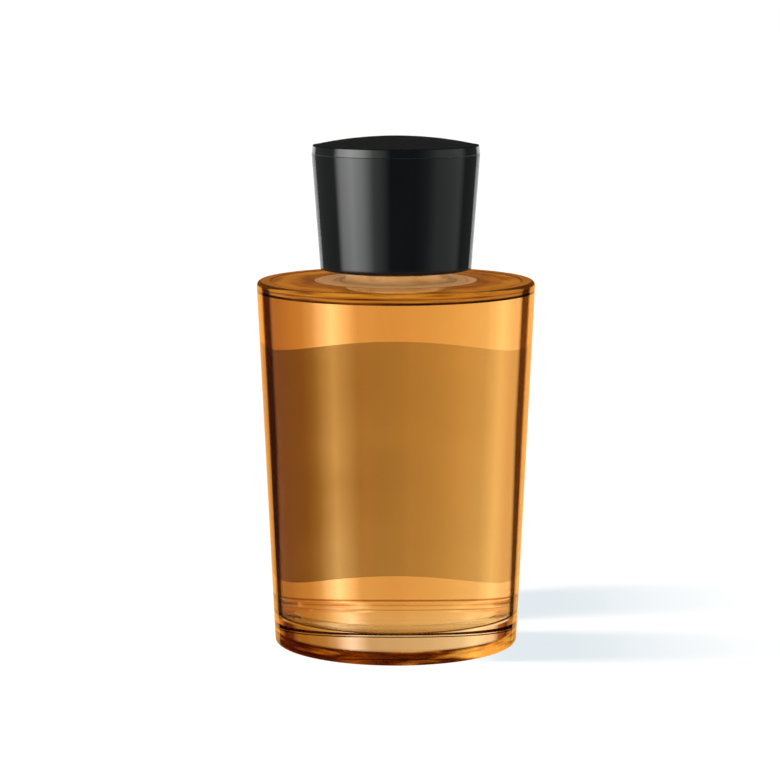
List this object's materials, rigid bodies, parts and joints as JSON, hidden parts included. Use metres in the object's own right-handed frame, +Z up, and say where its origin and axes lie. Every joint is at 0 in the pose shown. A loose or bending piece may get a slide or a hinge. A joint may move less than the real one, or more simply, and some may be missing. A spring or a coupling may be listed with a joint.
{
  "type": "aftershave bottle",
  "caption": "Round tapered clear-glass splash bottle of amber aftershave lotion, with a flared black screw cap, a pouring insert in the neck and a blank translucent label film on the back.",
  "frame": {"origin": "centre of the bearing ring under the bottle, on the surface the bottle stands on", "axes": "+Z up along the bottle's axis; -Y is the front; +Y is the back, which carries the label"},
  "size_m": [0.0552, 0.0552, 0.1011],
  "materials": {
    "flint_glass": "polished",
    "amber_lotion": "gloss",
    "label_film": "satin",
    "insert_plastic": "satin",
    "liner_foam": "matte",
    "inner_cap_plastic": "satin",
    "cap_black_gloss": "gloss"
  },
  "bodies": {
    "bottle": {"bottle_glass": "flint_glass", "aftershave_lotion": "amber_lotion", "rear_label": "label_film", "pour_insert": "insert_plastic"},
    "liner": {"sealing_liner": "liner_foam"},
    "cap": {"threaded_inner_cap": "inner_cap_plastic", "cap_shell": "cap_black_gloss", "cap_top": "cap_black_gloss"}
  },
  "joints": [
    {"name": "cap_rise", "type": "slide", "parent": "bottle", "child": "liner", "axis": [0, 0, 1], "range_m": [0, 0.0128]},
    {"name": "cap_unscrew", "type": "hinge", "parent": "liner", "child": "cap", "pos_m": [0, 0, 0.08], "axis": [0, 0, 1], "range_deg": [0, 1440]}
  ],
  "couplings": [
    {"joint": "cap_rise", "follows": "cap_unscrew", "m_per_rad": 0.00050532}
  ]
}
